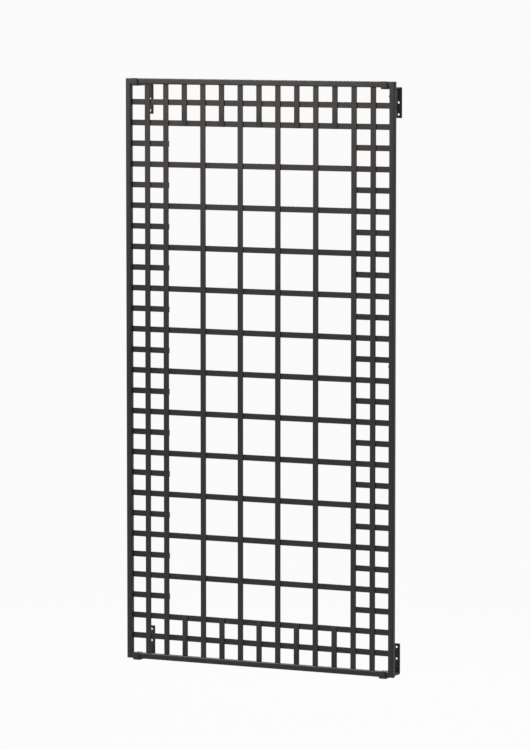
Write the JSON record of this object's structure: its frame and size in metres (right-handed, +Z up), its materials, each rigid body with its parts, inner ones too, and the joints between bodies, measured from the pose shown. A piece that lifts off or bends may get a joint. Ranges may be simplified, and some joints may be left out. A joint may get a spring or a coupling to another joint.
{
  "type": "wall trellis",
  "caption": "Rectangular wall trellis: a grid of flat bars in a square tube frame, with a border of smaller squares, hung on bent wall brackets that hold it off the wall.",
  "frame": {"origin": "on the wall's plane, behind the middle of the panel", "axes": "+X to the right as one faces the wall, +Y into the wall, +Z up"},
  "size_m": [0.921, 0.1117, 1.829],
  "materials": {
    "tube_coat": "matte powder coat, fine-textured, dark charcoal with a warm cast",
    "bar_coat": "matte powder coat, fine-textured, dark charcoal with a warm cast",
    "bracket_coat": "matte powder coat, fine-textured, dark charcoal with a warm cast",
    "plug_plastic": "satin black"
  },
  "bodies": {
    "brackets": {"wall_bracket_top_left": "bracket_coat", "wall_bracket_top_right": "bracket_coat", "wall_bracket_bottom_left": "bracket_coat", "wall_bracket_bottom_right": "bracket_coat"},
    "panel": {"left_stile": "tube_coat", "right_stile": "tube_coat", "top_rail": "tube_coat", "bottom_rail": "tube_coat", "upright_01": "bar_coat", "upright_02": "bar_coat", "upright_03": "bar_coat", "upright_04": "bar_coat", "upright_05": "bar_coat", "upright_06": "bar_coat", "upright_07": "bar_coat", "upright_08": "bar_coat", "crossbar_01": "bar_coat", "crossbar_02": "bar_coat", "crossbar_03": "bar_coat", "crossbar_04": "bar_coat", "crossbar_05": "bar_coat", "crossbar_06": "bar_coat", "crossbar_07": "bar_coat", "crossbar_08": "bar_coat", "crossbar_09": "bar_coat", "crossbar_10": "bar_coat", "crossbar_11": "bar_coat", "crossbar_12": "bar_coat", "crossbar_13": "bar_coat", "crossbar_14": "bar_coat", "crossbar_15": "bar_coat", "left_short_bar_01": "bar_coat", "left_short_bar_02": "bar_coat", "left_short_bar_03": "bar_coat", "left_short_bar_04": "bar_coat", "left_short_bar_05": "bar_coat", "left_short_bar_06": "bar_coat", "left_short_bar_07": "bar_coat", "left_short_bar_08": "bar_coat", "left_short_bar_09": "bar_coat", "left_short_bar_10": "bar_coat", "left_short_bar_11": "bar_coat", "left_short_bar_12": "bar_coat", "right_short_bar_01": "bar_coat", "right_short_bar_02": "bar_coat", "right_short_bar_03": "bar_coat", "right_short_bar_04": "bar_coat", "right_short_bar_05": "bar_coat", "right_short_bar_06": "bar_coat", "right_short_bar_07": "bar_coat", "right_short_bar_08": "bar_coat", "right_short_bar_09": "bar_coat", "right_short_bar_10": "bar_coat", "right_short_bar_11": "bar_coat", "right_short_bar_12": "bar_coat", "side_plug_top": "plug_plastic", "side_plug_middle": "plug_plastic"}
  },
  "joints": [
    {"name": "panel_lift", "type": "slide", "parent": "brackets", "child": "panel", "axis": [0, 0, 1], "range_m": [0, 0.025]}
  ]
}
